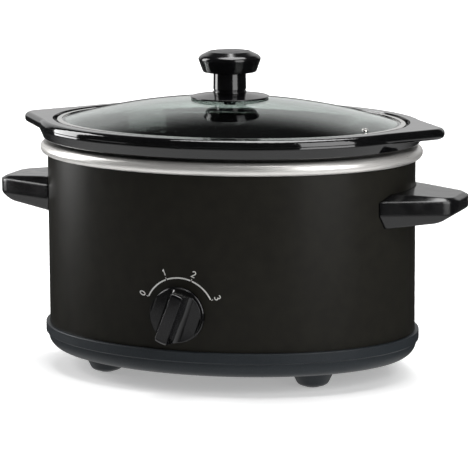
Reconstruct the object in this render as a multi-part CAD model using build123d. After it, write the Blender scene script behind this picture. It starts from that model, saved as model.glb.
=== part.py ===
from build123d import *
import os
from math import acos, atan2, cos, radians, sin, sqrt

# An oval slow cooker: a painted steel housing on a moulded base pan, a pressed heating well with a rolled
# rim, a lift-out stoneware crock, a glass lid and one rotary dial at the front.
# Frame: +Z up, +X along the long axis of the oval, the dial faces -Y. The origin is on the surface that
# the feet stand on, under the middle of the whole outline. All sizes are in millimetres.

# ---------------------------------------------------------------- driving dimensions
# housing, a straight-sided oval tube
HOUSING_LENGTH = 292.0
HOUSING_WIDTH = 225.0
HOUSING_SHEET = 0.9
WALL_SHOWN = 133.0          # painted wall seen between the base pan and the rolled rim
HOUSING_TUCK = 6.0          # how far the housing drops inside the pan's lip

# base pan and feet
FOOT_HEIGHT = 13.8          # floor to the pan's underside
FOOT_TOP_RADIUS = 16.5
FOOT_SOLE_RADIUS = 11.0
FOOT_SPIGOT_RADIUS = 7.0
FOOT_SPIGOT_HEIGHT = 2.0    # above the pan's floor
FOOT_SPACING_X = 168.8
FOOT_SPACING_Y = 101.4
PAN_HEIGHT = 20.2
PAN_WALL = 2.5
PAN_LIP_REACH = 3.2         # lip outside the housing wall
PAN_WAIST_REACH = 1.4       # wall below the lip, outside the housing wall
PAN_LIP_DEPTH = 7.6
PAN_CORNER = 11.0
PAD_RADIUS = 6.0
PAD_THICKNESS = 3.0
PAD_PROUD = 1.0

# heating well with its rolled rim
WELL_SHEET = 1.0
WELL_FLOOR_ABOVE_PAN = 32.0 # well floor above the pan's lip
BAND_HEIGHT = 9.4
BAND_BULGE = 5.5            # rolled rim outside the housing wall
BAND_TOP_REACH = 1.5
WELL_TOP_INSET = 8.0        # well wall inside the housing wall, at the mouth
WELL_FLOOR_INSET = 20.0     # and at the floor
WELL_CORNER = 20.0

# crock
CROCK_WALL = 6.5
CROCK_FLOOR = 7.0
CROCK_SIDE_GAP = 5.0        # between the well wall and the crock wall
CROCK_FLOOR_GAP = 5.0
CROCK_CORNER = 24.0
CROCK_RIM_REACH = 6.3       # widest point of the rim outside the housing wall
CROCK_RIM_HEIGHT = 17.3
CROCK_SLANT = 10.3          # height of the slanted underside of the rim
CROCK_LEDGE_DEPTH = 5.3     # lid recess below the rim's top
CROCK_RIM_ROUND = 4.0
CROCK_SEAT_REACH = -3.0     # edge of the seat that stands on the rolled rim
CROCK_UNDERCUT_REACH = 3.0  # lower end of the slanted underside
CROCK_UNDERCUT = 2.8        # and its height above the seat
RECESS_LEAN = 1.0           # the lid recess is this much wider at its top
RECESS_ROUND = 2.0
LUG_REACH = 25.5            # lifting lug outside the housing wall
LUG_THICKNESS = 8.2
LUG_TIP_HALF_WIDTH = 5.4
LUG_TIP_ROUND = 12.0
LUG_JUNCTION_ROUND = 40.0   # where a flank of the lug runs into the rim
LUG_ROOT_SHARE = 0.99       # the flanks start this share of the way out to the rim's edge
LUG_UNDER_ROUND = 3.4

# lid
LID_INSET = 7.6             # lid's edge inside the housing wall
GLASS = 3.3
DOME_RISE = 18.8
RIM_SHEET = 0.6
RIM_COVER = 3.8             # how far the steel rim covers the edge of the glass
GLASS_HOLE_RADIUS = 3.4
VENT_ACROSS = 0.90          # place of the steam vent, as a share of the lid's half length
VENT_FORWARD = 0.32         # and of its half width
VENT_RADIUS = 1.2
VENT_TUBE_WALL = 0.6
VENT_FLANGE = 2.8

# lid knob
KNOB_SKIRT_RADIUS = 30.6
KNOB_SKIRT_HEIGHT = 3.4
KNOB_STEM_RADIUS = 12.8
KNOB_STEM_HEIGHT = 16.0
KNOB_CAP_FOOT_RADIUS = 20.6
KNOB_CAP_RADIUS = 24.4
KNOB_CAP_HEIGHT = 16.6
BADGE_RADIUS = 15.5
BADGE_RECESS = 1.4
KNOB_SCREW_RADIUS = 2.4
KNOB_SCREW_GRIP = 20.0      # length of the screw inside the knob
KNOB_WASHER_RADIUS = 9.0
KNOB_WASHER_THICKNESS = 1.6

# side handles
HANDLE_REACH = 41.4         # outside the housing wall
HANDLE_TIP_HALF_WIDTH = 21.5
HANDLE_FLANK_SLOPE = 0.43   # how much it widens for each millimetre towards the housing
HANDLE_CORNER = 14.0
HANDLE_SHOULDER_BELOW_BAND = 25.0
HANDLE_CROWN = 5.2          # top above the shoulder, at the housing
HANDLE_CROWN_INSET = 9.0    # edge of the flat top inside the shoulder
HANDLE_TOP_FALL = 3.4       # fall of the top towards the tip
HANDLE_SIDE = 10.4          # upright side below the shoulder
HANDLE_LEAN_DEPTH = 10.4    # leaning side below that
HANDLE_LEAN = 4.0
HANDLE_TIP_DEPTH = 9.0
HANDLE_TRIM = 0.3           # taken off the crown, which leaves its top flat
HANDLE_TOP_ROUND = 60.0     # where the flat top starts to fall
HANDLE_TIP_TOP_ROUND = 3.0
HANDLE_TIP_LOW_ROUND = 8.0
HANDLE_CHIN = 12.0          # the underside turns up this far before the tip
HANDLE_CHIN_DEPTH = 7.5     # and this far below it
HANDLE_CHIN_ROUND = 20.0
HANDLE_ROOT = 24.0          # inside the housing wall, before the wall's shape is cut away
HANDLE_UNDER_START = 12.0   # where the level underside ends, inside the housing wall
HANDLE_WALL = 2.8
HANDLE_UNDER_WALL = 3.4
HOLLOW_FALL = 1.0           # fall of the hollow's top towards the tip
HOLLOW_TIP_RISE = 2.0       # its lower tip corner above the handle's
HOLLOW_ROUND = 1.0
HOLLOW_CHIN_ROUND = 4.0
HANDLE_SCREW_SPACING = 44.0
HANDLE_SCREW_RADIUS = 1.9
HANDLE_SCREW_LENGTH = 16.0
HANDLE_BOSS_RADIUS = 4.6
WASHER_RADIUS = 6.0
WASHER_THICKNESS = 1.2

# dial and switch
DIAL_ABOVE_PAN = 27.7       # dial centre above the pan's top
DIAL_RADIUS = 21.0
DIAL_FACE_DEPTH = 7.5       # back of the dial to its round face
DIAL_GRIP_DEPTH = 21.5      # back of the dial to the front of the grip
DIAL_GRIP_HALF_WIDTH = 4.4
DIAL_SETTING = 21.0         # degrees clockwise from upright, the second heat
SHAFT_RADIUS = 3.0
SHAFT_IN_DIAL = 11.0
BUSH_RADIUS = 4.8
BUSH_LENGTH = 4.2
NUT_ACROSS_FLATS = 14.0
NUT_THICKNESS = 2.4
SWITCH_WIDTH = 27.0
SWITCH_HEIGHT = 26.0
SWITCH_DEPTH = 13.0
SWITCH_TAB_LENGTH = 3.0

# heater and wiring
HEATER_THICKNESS = 1.6
HEATER_WIDTH = 40.0
HEATER_ABOVE_FLOOR = 24.0
HEATER_GAP_WIDTH = 16.0
FUSE_RADIUS = 2.2
FUSE_LENGTH = 20.0
FUSE_CLIP_SHEET = 0.8
LEAD_RADIUS = 1.2
TERMINAL_LENGTH = 30.0
TERMINAL_WIDTH = 18.0
TERMINAL_HEIGHT = 13.0
TERMINAL_PITCH = 9.0

# tie between the base pan and the well
TIE_SPACING = 50.0
TIE_SCREW_RADIUS = 2.0
TIE_HEAD_RADIUS = 4.0
TIE_BOSS_RADIUS = 5.5
TIE_BOSS_HEIGHT = 16.0
BRACKET_SHEET = 1.2
BRACKET_WIDTH = 20.0
BRACKET_SPAN = 80.0
BRACKET_FOOT = 12.0

# cord entry at the back
ENTRY_BORE_RADIUS = 3.75
ENTRY_BUSH_RADIUS = 6.5
ENTRY_FLANGE_RADIUS = 9.0
ENTRY_FLANGE = 2.0
ENTRY_ABOVE_PAN = 18.0

# clearances
SLIP = 0.05                 # between pieces of one body that are fitted together
RUNNING = 0.08              # radial, shaft in its bush
LIFT_GAP = 0.3              # under a piece that is only set down
EDGE_GAP = 2.2              # round the lid in its recess
DIAL_GAP = 0.8              # behind the dial
PAST = 5.0                  # how far a cutting shape reaches past what it cuts

# ---------------------------------------------------------------- derived sizes
HALF_LENGTH = HOUSING_LENGTH / 2
HALF_WIDTH = HOUSING_WIDTH / 2
LID_HALF_LENGTH = HALF_LENGTH - LID_INSET
LID_HALF_WIDTH = HALF_WIDTH - LID_INSET

pan_bottom = FOOT_HEIGHT
pan_floor = pan_bottom + PAN_WALL
pan_top = pan_bottom + PAN_HEIGHT
housing_bottom = pan_top - HOUSING_TUCK
band_bottom = pan_top + WALL_SHOWN
band_top = band_bottom + BAND_HEIGHT
housing_top = band_top - WELL_SHEET - LIFT_GAP
well_floor = pan_top + WELL_FLOOR_ABOVE_PAN
well_under = well_floor - WELL_SHEET

crock_seat = band_top + LIFT_GAP
crock_bottom = well_floor + CROCK_FLOOR_GAP
crock_floor = crock_bottom + CROCK_FLOOR
crock_top = crock_seat + CROCK_RIM_HEIGHT
crock_ledge = crock_top - CROCK_LEDGE_DEPTH
crock_recess = EDGE_GAP - LID_INSET
rim_widest = crock_seat + CROCK_SLANT
crock_outside_top = -WELL_TOP_INSET - CROCK_SIDE_GAP
crock_outside_bottom = -WELL_FLOOR_INSET - CROCK_SIDE_GAP + 1.0
crock_inside_top = crock_outside_top - CROCK_WALL
crock_inside_bottom = crock_outside_bottom - CROCK_WALL

lid_bottom = crock_ledge + LIFT_GAP
glass_bottom = lid_bottom + RIM_SHEET
glass_flat_top = glass_bottom + GLASS
lid_rim_top = glass_flat_top + RIM_SHEET
glass_apex = glass_flat_top + DOME_RISE
glass_inside_apex = glass_apex - GLASS - 0.2
glass_half_length = LID_HALF_LENGTH - RIM_SHEET - 2 * SLIP
glass_half_width = LID_HALF_WIDTH - RIM_SHEET - 2 * SLIP
dome_half_length = (LID_HALF_WIDTH - RIM_COVER - 0.5) * glass_half_length / glass_half_width

dial_height = pan_top + DIAL_ABOVE_PAN
dial_back = -HALF_WIDTH - DIAL_GAP
handle_shoulder = band_bottom - HANDLE_SHOULDER_BELOW_BAND
handle_low = handle_shoulder - HANDLE_SIDE - HANDLE_LEAN_DEPTH
handle_root = HALF_LENGTH - HANDLE_ROOT
handle_tip = HALF_LENGTH + HANDLE_REACH
handle_screw_height = handle_shoulder - HANDLE_SIDE

FLANGE = 30.0               # flat margin swept with a wall, which the middle plate of a floor laps


# ---------------------------------------------------------------- shape helpers
def outline(*corners):
    """A closed flat outline from corners (x, y, radius)."""
    points = [(x, y) for x, y, radius in corners]
    radii = [radius for x, y, radius in corners]
    return make_face(FilletPolyline(*points, radius=radii, close=True))


def round_oval(profile, half_length=HALF_LENGTH, half_width=HALF_WIDTH):
    """Sweep a flat profile round an oval: profile x is outside the oval's wall, profile y is the height."""
    start = Plane(origin=(half_length, 0, 0), x_dir=(1, 0, 0), z_dir=(0, -1, 0))
    path = Ellipse(half_length, half_width).edge()
    return sweep(start * profile, path=path, is_frenet=True)


def oval_plate(outset, bottom, thickness):
    """A flat oval plate whose edge is outset from the housing wall."""
    return Pos(0, 0, bottom) * extrude(Ellipse(HALF_LENGTH + outset, HALF_WIDTH + outset), thickness)


def turned(profile):
    """Turn a profile (x is the radius, y the height) about the vertical axis."""
    return revolve(Plane.XZ * profile, Axis.Z)


def rod(radius, bottom, length):
    """A vertical rod on the Z axis."""
    return Pos(0, 0, bottom) * extrude(Circle(radius), length)


def side_slab(profile, half_width):
    """A profile drawn in X and Z, as thick as twice half_width across Y."""
    return extrude(Plane.XZ * profile, half_width, both=True)


def well_offset(height):
    """Outset of the well wall's housing side at a height."""
    share = (band_top - height) / (band_top - well_under)
    return -WELL_TOP_INSET - share * (WELL_FLOOR_INSET - WELL_TOP_INSET)


def end_wall_plane(side, across):
    """A plane on the housing wall near one end (side +1 or -1), its Z pointing straight out of the wall."""
    along = side * HALF_LENGTH * sqrt(1 - (across / HALF_WIDTH) ** 2)
    normal = Vector(along / HALF_LENGTH**2, across / HALF_WIDTH**2, 0)
    return Plane(origin=(along, across, handle_screw_height), x_dir=(0, 0, 1), z_dir=normal)


def handle_screw_planes():
    """The four handle screws' places on the housing wall."""
    return [
        end_wall_plane(side, row * HANDLE_SCREW_SPACING / 2)
        for side in (-1, 1)
        for row in (-1, 1)
    ]


def foot_places():
    """The centres of the four feet."""
    return [
        Pos(column * FOOT_SPACING_X / 2, row * FOOT_SPACING_Y / 2, 0)
        for column in (-1, 1)
        for row in (-1, 1)
    ]


def tie_places():
    """The two tie screws' axes."""
    return [Pos(column * TIE_SPACING / 2, 0, 0) for column in (-1, 1)]


def front_plane(depth):
    """A plane at the dial, square to its axis; depth is its Y place and its Z points to the front."""
    return Plane(origin=(0, depth, dial_height), x_dir=(1, 0, 0), z_dir=(0, -1, 0))


def back_plane(depth):
    """A plane at the cord entry; depth is its Y place and its Z points to the back."""
    return Plane(origin=(0, depth, pan_top + ENTRY_ABOVE_PAN), x_dir=(-1, 0, 0), z_dir=(0, 1, 0))


# ---------------------------------------------------------------- base and housing
def make_base_pan():
    """The moulded pan: a lip round the housing, a bowl-like wall, a flat floor and two tie bosses."""
    lip_bottom = pan_top - PAN_LIP_DEPTH
    inside = -HOUSING_SHEET - 0.8
    wall = outline(
        (-FLANGE, pan_bottom, 0),
        (PAN_WAIST_REACH - 1.2, pan_bottom, PAN_CORNER),
        (PAN_WAIST_REACH, lip_bottom - 0.8, 0.6),
        (PAN_LIP_REACH, lip_bottom, 0.5),
        (PAN_LIP_REACH, pan_top, 0.8),
        (4 * SLIP, pan_top, 0),
        (4 * SLIP, housing_bottom, 0),
        (inside, housing_bottom, 0),
        (inside, pan_floor, PAN_CORNER - PAN_WALL),
        (-FLANGE, pan_floor, 0),
    )
    pan = round_oval(wall) + oval_plate(4 - FLANGE, pan_bottom, PAN_WALL)
    for place in foot_places():
        pan -= place * rod(FOOT_SPIGOT_RADIUS + SLIP, pan_bottom - 1, PAN_WALL + 2)
    for place in tie_places():
        pan += place * rod(TIE_BOSS_RADIUS, pan_floor - 0.5, TIE_BOSS_HEIGHT + 0.5)
    for place in tie_places():
        pan -= place * rod(TIE_SCREW_RADIUS + SLIP, pan_bottom, TIE_BOSS_HEIGHT + 10)
        pan -= place * rod(TIE_HEAD_RADIUS + 0.5, pan_bottom, 1.6)
    return pan


def make_feet():
    """Four moulded feet, each a tapered dome with a spigot through the pan's floor."""
    foot = turned(outline(
        (0, PAD_PROUD, 0),
        (FOOT_SOLE_RADIUS, PAD_PROUD, 5.0),
        (FOOT_TOP_RADIUS, pan_bottom - 1.5, 3.0),
        (FOOT_TOP_RADIUS, pan_bottom, 0),
        (FOOT_SPIGOT_RADIUS, pan_bottom, 0),
        (FOOT_SPIGOT_RADIUS, pan_floor + FOOT_SPIGOT_HEIGHT, 0.8),
        (0, pan_floor + FOOT_SPIGOT_HEIGHT, 0),
    ))
    foot -= rod(PAD_RADIUS + SLIP, 0, PAD_THICKNESS)
    return Compound([place * foot for place in foot_places()])


def make_foot_pads():
    """Four rubber pads set into the soles of the feet."""
    pad = turned(outline(
        (0, 0, 0),
        (PAD_RADIUS, 0, 0.4),
        (PAD_RADIUS, PAD_THICKNESS, 0),
        (0, PAD_THICKNESS, 0),
    ))
    return Compound([place * pad for place in foot_places()])


def make_housing():
    """The painted oval wall, with holes for the dial bush, the handle screws and the cord entry."""
    height = housing_top - housing_bottom
    housing = oval_plate(0, housing_bottom, height) - oval_plate(-HOUSING_SHEET, housing_bottom, height)
    housing -= front_plane(-HALF_WIDTH + 5) * extrude(Circle(BUSH_RADIUS + SLIP), 10)
    housing -= back_plane(HALF_WIDTH - 5) * extrude(Circle(ENTRY_BUSH_RADIUS + SLIP), 10)
    for plane in handle_screw_planes():
        housing -= plane.offset(-4) * extrude(Circle(HANDLE_SCREW_RADIUS + SLIP), 8)
    return housing


def make_heating_well():
    """The pressed well: a rolled rim over the housing's top edge, a tapered wall and a flat floor."""
    roll = ThreePointArc(
        (0.3 + WELL_SHEET, band_bottom),
        (BAND_BULGE, band_bottom + BAND_HEIGHT / 2),
        (BAND_TOP_REACH, band_top),
    )
    wall = FilletPolyline(
        (BAND_TOP_REACH, band_top),
        (-WELL_TOP_INSET - WELL_SHEET, band_top),
        (-WELL_FLOOR_INSET - WELL_SHEET, well_floor),
        (-WELL_FLOOR_INSET - FLANGE, well_floor),
        radius=[3.0, WELL_CORNER],
    )
    line = Wire([roll.edge(), *wall.edges()])
    sheet = Face(line.offset_2d(WELL_SHEET, kind=Kind.INTERSECTION, side=Side.LEFT, closed=True))
    plate = oval_plate(4 - WELL_FLOOR_INSET - FLANGE, well_under, WELL_SHEET)
    return round_oval(sheet) + plate


# ---------------------------------------------------------------- crock
def make_crock():
    """The stoneware crock: a tapered oval bowl whose heavy rim grows into two lifting lugs."""
    bowl = round_oval(outline(
        (crock_outside_bottom - FLANGE, crock_bottom, 0),
        (crock_outside_bottom, crock_bottom, CROCK_CORNER),
        (crock_outside_top, crock_seat, 2.0),
        (CROCK_SEAT_REACH, crock_seat, 0.6),
        (CROCK_UNDERCUT_REACH, crock_seat + CROCK_UNDERCUT, 1.2),
        (CROCK_RIM_REACH - 0.1, rim_widest, 1.5),
        (CROCK_RIM_REACH - 0.1, crock_top - CROCK_RIM_ROUND, 0),
        (crock_recess - 1.0, crock_top - CROCK_RIM_ROUND, 0),
        (crock_recess - 1.0, crock_ledge, 0),
        (crock_inside_top, crock_ledge, 2.5),
        (crock_inside_bottom, crock_floor, CROCK_CORNER - CROCK_WALL),
        (crock_inside_bottom - FLANGE, crock_floor, 0),
    ))
    plate = oval_plate(4 - FLANGE + crock_outside_bottom, crock_bottom, CROCK_FLOOR)
    return bowl + plate + make_rim_plate()


def make_rim_plate():
    """The top of the crock's rim with both lugs in one outline, and the recess for the lid."""
    reach = Ellipse(HALF_LENGTH + CROCK_RIM_REACH, HALF_WIDTH + CROCK_RIM_REACH)
    plan = reach + lug_plan() + lug_plan().rotate(Axis.Z, 180)
    beyond_tip = LUG_TIP_HALF_WIDTH + 2 * LUG_TIP_ROUND
    plan = fillet(plan.vertices().filter_by(lambda corner: abs(corner.Y) > beyond_tip), LUG_JUNCTION_ROUND)
    bottom = crock_top - LUG_THICKNESS
    rim = Pos(0, 0, bottom) * extrude(plan, LUG_THICKNESS)
    rim = fillet(rim.faces().sort_by(Axis.Z)[-1].edges(), CROCK_RIM_ROUND)
    rim = fillet(rim.faces().sort_by(Axis.Z)[0].edges(), LUG_UNDER_ROUND)
    recess = round_oval(outline(
        (crock_recess - PAST, bottom - PAST, 0),
        (crock_recess - PAST, crock_top + PAST, 0),
        (crock_recess + RECESS_LEAN + PAST, crock_top + PAST, 0),
        (crock_recess + RECESS_LEAN, crock_top, RECESS_ROUND),
        (crock_recess, crock_ledge, 0),
        (crock_recess, bottom - PAST, 0),
    ))
    return rim - recess - oval_plate(crock_recess - PAST / 2, bottom - PAST, LUG_THICKNESS + 2 * PAST)


def lug_plan():
    """One lug from above at +X: flanks that leave the rim's oval along its own direction."""
    long_half = HALF_LENGTH + CROCK_RIM_REACH
    short_half = HALF_WIDTH + CROCK_RIM_REACH
    tip = HALF_LENGTH + LUG_REACH
    across = tip / long_half
    aside = LUG_TIP_HALF_WIDTH / short_half
    turn = atan2(aside, across) + acos(1 / sqrt(across**2 + aside**2))
    root_x = LUG_ROOT_SHARE * long_half * cos(turn)
    root_y = LUG_ROOT_SHARE * short_half * sin(turn)
    return outline(
        (tip, LUG_TIP_HALF_WIDTH, LUG_TIP_ROUND),
        (tip, -LUG_TIP_HALF_WIDTH, LUG_TIP_ROUND),
        (root_x, -root_y, 0),
        (root_x, root_y, 0),
    )


# ---------------------------------------------------------------- lid
def make_lid_glass():
    """The shallow glass dome with its flat edge, the hole for the knob screw and the vent hole."""
    start = dome_half_length
    inside_start = start - 2.0
    inside_rise = glass_inside_apex - glass_bottom
    outside = ThreePointArc((start, glass_flat_top), (start / 2, glass_apex - DOME_RISE / 4), (0, glass_apex))
    inside = ThreePointArc(
        (0, glass_inside_apex),
        (inside_start / 2, glass_inside_apex - inside_rise / 4),
        (inside_start, glass_bottom),
    )
    edge = Polyline(
        (inside_start, glass_bottom),
        (glass_half_length, glass_bottom),
        (glass_half_length, glass_flat_top),
        (start, glass_flat_top),
    )
    axis = Line((0, glass_apex), (0, glass_inside_apex))
    dome = turned(make_face([*outside.edges(), *axis.edges(), *inside.edges(), *edge.edges()]))
    dome = scale(dome, by=(1, glass_half_width / glass_half_length, 1))
    dome -= rod(GLASS_HOLE_RADIUS, glass_bottom, DOME_RISE + 10)
    hole = extrude(Circle(VENT_RADIUS + VENT_TUBE_WALL + SLIP), GLASS + 6)
    return dome - vent_plane().offset(-GLASS - 3) * hole


def vent_plane():
    """The plane on the glass at the steam vent, square to the glass."""
    half_width = dome_half_length * glass_half_width / glass_half_length
    x = VENT_ACROSS * dome_half_length
    y = -VENT_FORWARD * half_width
    share = (x / dome_half_length) ** 2 + (y / half_width) ** 2
    normal = Vector(2 * DOME_RISE * x / dome_half_length**2, 2 * DOME_RISE * y / half_width**2, 1)
    return Plane(origin=(x, y, glass_apex - DOME_RISE * share), z_dir=normal)


def make_vent_eyelet():
    """The steel eyelet pressed into the vent hole."""
    tube = VENT_RADIUS + VENT_TUBE_WALL
    eyelet = turned(outline(
        (VENT_RADIUS, -GLASS - 0.6, 0),
        (tube, -GLASS - 0.6, 0),
        (tube, 0.15, 0),
        (VENT_FLANGE, 0.15, 0),
        (VENT_FLANGE - 0.3, 0.75, 0.3),
        (VENT_RADIUS, 0.75, 0.3),
    ))
    return vent_plane() * eyelet


def make_lid_rim():
    """The steel channel crimped round the edge of the glass."""
    channel = outline(
        (-RIM_COVER, lid_bottom, 0),
        (0, lid_bottom, 0.9),
        (0, lid_rim_top, 0.9),
        (-RIM_COVER, lid_rim_top, 0),
        (-RIM_COVER, glass_flat_top + SLIP, 0),
        (-RIM_SHEET, glass_flat_top + SLIP, 0),
        (-RIM_SHEET, glass_bottom - SLIP, 0),
        (-RIM_COVER, glass_bottom - SLIP, 0),
    )
    return round_oval(channel, LID_HALF_LENGTH, LID_HALF_WIDTH)


def make_knob_skirt():
    """The thin disc between the glass and the knob's stem, hollowed to follow the dome."""
    under = glass_apex + 0.3
    top = under + KNOB_SKIRT_HEIGHT - 0.8
    return turned(outline(
        (KNOB_SCREW_RADIUS + SLIP, under, 0),
        (KNOB_SKIRT_RADIUS / 2, under, 0),
        (KNOB_SKIRT_RADIUS - 0.6, under - 0.9, 0.2),
        (KNOB_SKIRT_RADIUS, under + 0.2, 0.4),
        (KNOB_STEM_RADIUS + 1.0, top, 2.0),
        (KNOB_STEM_RADIUS, top + 0.2, 0),
        (KNOB_SCREW_RADIUS + SLIP, top + 0.2, 0),
    ))


def make_lid_knob():
    """The moulded knob: a stem with a fine groove, and a cap that flares to a rounded shoulder."""
    foot = glass_apex + 0.3 + KNOB_SKIRT_HEIGHT - 0.6
    cap = foot + KNOB_STEM_HEIGHT
    top = cap + KNOB_CAP_HEIGHT
    bore = KNOB_SCREW_RADIUS + SLIP
    bore_top = foot + KNOB_SCREW_GRIP - KNOB_SKIRT_HEIGHT + 1
    return turned(outline(
        (bore, foot, 0),
        (KNOB_STEM_RADIUS, foot, 0.3),
        (KNOB_STEM_RADIUS, foot + 1.4, 0.2),
        (KNOB_STEM_RADIUS - 0.6, foot + 1.8, 0.1),
        (KNOB_STEM_RADIUS - 0.6, foot + 2.4, 0.1),
        (KNOB_STEM_RADIUS, foot + 2.8, 0.2),
        (KNOB_STEM_RADIUS - 0.3, cap, 1.0),
        (KNOB_CAP_FOOT_RADIUS, cap + 0.3, 1.2),
        (KNOB_CAP_RADIUS, cap + 0.66 * KNOB_CAP_HEIGHT, 2.5),
        (KNOB_CAP_RADIUS - 2.2, top - 3.4, 2.5),
        (BADGE_RADIUS + 0.8, top - 0.6, 0.3),
        (BADGE_RADIUS + SLIP, top - 0.6, 0),
        (BADGE_RADIUS + SLIP, top - 0.6 - BADGE_RECESS, 0),
        (0, top - 0.6 - BADGE_RECESS, 0),
        (0, bore_top, 0),
        (bore, bore_top, 0),
    ))


def make_knob_badge():
    """The round cover disc set into the top of the knob."""
    top = glass_apex + 0.3 + KNOB_SKIRT_HEIGHT - 0.6 + KNOB_STEM_HEIGHT + KNOB_CAP_HEIGHT
    seat = top - 0.6 - BADGE_RECESS
    return turned(outline(
        (0, seat, 0),
        (BADGE_RADIUS, seat, 0),
        (BADGE_RADIUS, top - 0.9, 0.3),
        (BADGE_RADIUS / 2, top - 0.2, 8.0),
        (0, top, 0),
    ))


def make_knob_washer():
    """The soft washer under the glass, below the knob."""
    top = glass_inside_apex - 0.2
    return turned(outline(
        (KNOB_SCREW_RADIUS + SLIP, top - KNOB_WASHER_THICKNESS, 0),
        (KNOB_WASHER_RADIUS, top - KNOB_WASHER_THICKNESS, 0.4),
        (KNOB_WASHER_RADIUS, top, 0.4),
        (KNOB_SCREW_RADIUS + SLIP, top, 0),
    ))


def make_knob_screw():
    """The screw that holds the knob, its head under the glass."""
    head_top = glass_inside_apex - 0.2 - KNOB_WASHER_THICKNESS
    foot = glass_apex + 0.3
    screw = turned(outline(
        (0, head_top - 2.6, 0),
        (4.8, head_top - 2.6, 1.6),
        (4.8, head_top, 0),
        (0, head_top, 0),
    ))
    screw += rod(KNOB_SCREW_RADIUS, head_top - 0.5, foot + KNOB_SCREW_GRIP - head_top + 0.5)
    slot = Pos(0, 0, head_top - 2.6) * Box(1.0, 12, 2.0)
    return screw - slot


# ---------------------------------------------------------------- side handles
def handle_plan(inset):
    """The handle at +X from above, or a smaller one inset inside it."""
    tip = handle_tip - inset
    tip_half = HANDLE_TIP_HALF_WIDTH - inset / 2
    root_half = tip_half + HANDLE_FLANK_SLOPE * (tip - handle_root) - inset / 2
    return outline(
        (tip, tip_half, HANDLE_CORNER - inset),
        (tip, -tip_half, HANDLE_CORNER - inset),
        (handle_root, -root_half, 0),
        (handle_root, root_half, 0),
    )


def handle_form():
    """The handle's outer form: an upright side, a crowned top and a leaning lower side that curves up."""
    plan = handle_plan(0)
    side_bottom = handle_shoulder - HANDLE_SIDE
    form = Pos(0, 0, side_bottom) * extrude(plan, HANDLE_SIDE)
    top = Pos(0, 0, HANDLE_CROWN) * offset(plan, -HANDLE_CROWN_INSET)
    low = Pos(0, 0, -HANDLE_LEAN_DEPTH) * offset(plan, -HANDLE_LEAN)
    form += Pos(0, 0, handle_shoulder) * loft([plan, top])
    form += Pos(0, 0, side_bottom) * loft([plan, low])
    flat_top = handle_shoulder + HANDLE_CROWN - HANDLE_TRIM
    tip_low = handle_shoulder - HANDLE_TIP_DEPTH
    profile = outline(
        (handle_root, flat_top, 0),
        (HALF_LENGTH, flat_top, HANDLE_TOP_ROUND),
        (handle_tip, handle_shoulder + HANDLE_CROWN - HANDLE_TOP_FALL, HANDLE_TIP_TOP_ROUND),
        (handle_tip, tip_low, HANDLE_TIP_LOW_ROUND),
        (handle_tip - HANDLE_CHIN, tip_low - HANDLE_CHIN_DEPTH, HANDLE_CHIN_ROUND),
        (HALF_LENGTH - HANDLE_UNDER_START, handle_low, 0),
        (handle_root, handle_low, 0),
    )
    return form & side_slab(profile, HALF_WIDTH)


def handle_hollow():
    """The hollow inside the handle, open towards the housing."""
    inset = HANDLE_LEAN + HANDLE_WALL
    end = handle_tip - inset
    tip_low = handle_shoulder - HANDLE_TIP_DEPTH
    chin_low = tip_low - HANDLE_CHIN_DEPTH
    hollow_floor = handle_low + HANDLE_UNDER_WALL
    profile = outline(
        (handle_root, handle_shoulder, 0),
        (end, handle_shoulder - HOLLOW_FALL, HOLLOW_ROUND),
        (end, tip_low + HOLLOW_TIP_RISE, HOLLOW_ROUND),
        (handle_tip - HANDLE_CHIN - HANDLE_LEAN, chin_low + HANDLE_LEAN, HOLLOW_CHIN_ROUND),
        (HALF_LENGTH - HANDLE_UNDER_START, hollow_floor, 0),
        (handle_root, hollow_floor, 0),
    )
    prism = Pos(0, 0, handle_low) * extrude(handle_plan(inset), handle_shoulder - handle_low)
    return prism & side_slab(profile, HALF_WIDTH)


def make_handle(side):
    """One side handle (side +1 or -1): a hollow moulding open towards the housing, with two screw bosses."""
    wall = oval_plate(SLIP, handle_low - 20, 80)
    form = handle_form()
    inner_form = handle_hollow()
    body = form - wall - inner_form
    for row in (-1, 1):
        plane = end_wall_plane(1, row * HANDLE_SCREW_SPACING / 2)
        boss = plane.offset(-4) * extrude(Circle(HANDLE_BOSS_RADIUS), HANDLE_SCREW_LENGTH + 6)
        body += (boss & form) - wall
    for row in (-1, 1):
        plane = end_wall_plane(1, row * HANDLE_SCREW_SPACING / 2)
        body -= plane.offset(-1) * extrude(Circle(HANDLE_SCREW_RADIUS + SLIP), HANDLE_SCREW_LENGTH)
    return body if side > 0 else body.rotate(Axis.Z, 180)


def make_handle_washers():
    """Four washers inside the housing wall, under the handle screws' heads."""
    ring = extrude(Circle(WASHER_RADIUS) - Circle(HANDLE_SCREW_RADIUS + SLIP), WASHER_THICKNESS)
    inner = -HOUSING_SHEET - 0.3 - WASHER_THICKNESS
    return Compound([plane.offset(inner) * ring for plane in handle_screw_planes()])


def make_handle_screws():
    """Four self-tapping screws, from inside the housing into the handles' bosses."""
    inner = -HOUSING_SHEET - 0.3 - WASHER_THICKNESS
    head = turned(outline((0, -2.4, 0), (3.6, -2.4, 1.4), (3.6, 0, 0), (0, 0, 0)))
    screw = head + rod(HANDLE_SCREW_RADIUS, -0.5, HANDLE_SCREW_LENGTH)
    screw -= Pos(0, 0, -2.4) * Box(0.8, 5.0, 1.8)
    screw -= Pos(0, 0, -2.4) * Box(5.0, 0.8, 1.8)
    return Compound([plane.offset(inner) * screw for plane in handle_screw_planes()])


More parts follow.
